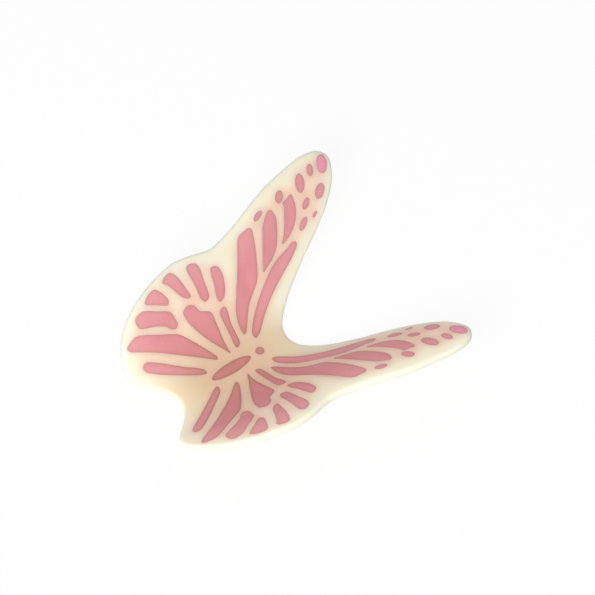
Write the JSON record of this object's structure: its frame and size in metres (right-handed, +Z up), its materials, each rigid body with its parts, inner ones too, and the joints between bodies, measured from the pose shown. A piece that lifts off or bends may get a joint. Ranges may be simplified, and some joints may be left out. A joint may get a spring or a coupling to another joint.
{
  "type": "butterfly cake decoration",
  "caption": "Thin ivory chocolate butterfly with both wings bent up from the body and pink printed wing cells; laid on a cake as an edible decoration.",
  "frame": {"origin": "under the middle of the object's bounding box, on the surface that it stands on", "axes": "+Y forward along the body to the forewing tips, +X to the right wing, +Z up"},
  "size_m": [0.0456, 0.0496, 0.0119],
  "materials": {
    "white_chocolate": "satin, slightly waxy ivory",
    "pink_cocoa_butter": "satin dusky pink",
    "tip_pink_cocoa_butter": "satin rose pink"
  },
  "bodies": {
    "root": {"chocolate_sheet": "white_chocolate", "head_dot": "pink_cocoa_butter", "body_mark": "pink_cocoa_butter", "right_forewing_leading_stripe": "pink_cocoa_butter", "right_forewing_main_cell": "pink_cocoa_butter", "right_forewing_middle_cell": "pink_cocoa_butter", "right_forewing_outer_cell": "pink_cocoa_butter", "right_forewing_tip_spot": "tip_pink_cocoa_butter", "right_forewing_outer_spot_1": "pink_cocoa_butter", "right_forewing_outer_spot_2": "pink_cocoa_butter", "right_forewing_outer_spot_3": "pink_cocoa_butter", "right_forewing_outer_spot_4": "pink_cocoa_butter", "right_forewing_inner_spot_1": "pink_cocoa_butter", "right_forewing_inner_spot_2": "pink_cocoa_butter", "right_forewing_inner_spot_3": "pink_cocoa_butter", "right_forewing_inner_spot_4": "pink_cocoa_butter", "right_hindwing_rim_cell_1": "pink_cocoa_butter", "right_hindwing_rim_cell_2": "pink_cocoa_butter", "right_hindwing_rim_cell_3": "pink_cocoa_butter", "right_hindwing_rim_cell_4": "pink_cocoa_butter", "right_hindwing_rim_cell_5": "pink_cocoa_butter", "right_hindwing_root_stripe": "pink_cocoa_butter", "right_hindwing_fan_cell": "pink_cocoa_butter", "right_hindwing_long_tail_cell": "pink_cocoa_butter", "right_hindwing_short_tail_cell": "pink_cocoa_butter", "left_forewing_leading_stripe": "pink_cocoa_butter", "left_forewing_main_cell": "pink_cocoa_butter", "left_forewing_middle_cell": "pink_cocoa_butter", "left_forewing_outer_cell": "pink_cocoa_butter", "left_forewing_tip_spot": "tip_pink_cocoa_butter", "left_forewing_outer_spot_1": "pink_cocoa_butter", "left_forewing_outer_spot_2": "pink_cocoa_butter", "left_forewing_outer_spot_3": "pink_cocoa_butter", "left_forewing_outer_spot_4": "pink_cocoa_butter", "left_forewing_inner_spot_1": "pink_cocoa_butter", "left_forewing_inner_spot_2": "pink_cocoa_butter", "left_forewing_inner_spot_3": "pink_cocoa_butter", "left_forewing_inner_spot_4": "pink_cocoa_butter", "left_hindwing_rim_cell_1": "pink_cocoa_butter", "left_hindwing_rim_cell_2": "pink_cocoa_butter", "left_hindwing_rim_cell_3": "pink_cocoa_butter", "left_hindwing_rim_cell_4": "pink_cocoa_butter", "left_hindwing_rim_cell_5": "pink_cocoa_butter", "left_hindwing_root_stripe": "pink_cocoa_butter", "left_hindwing_fan_cell": "pink_cocoa_butter", "left_hindwing_long_tail_cell": "pink_cocoa_butter", "left_hindwing_short_tail_cell": "pink_cocoa_butter"}
  },
  "joints": []
}
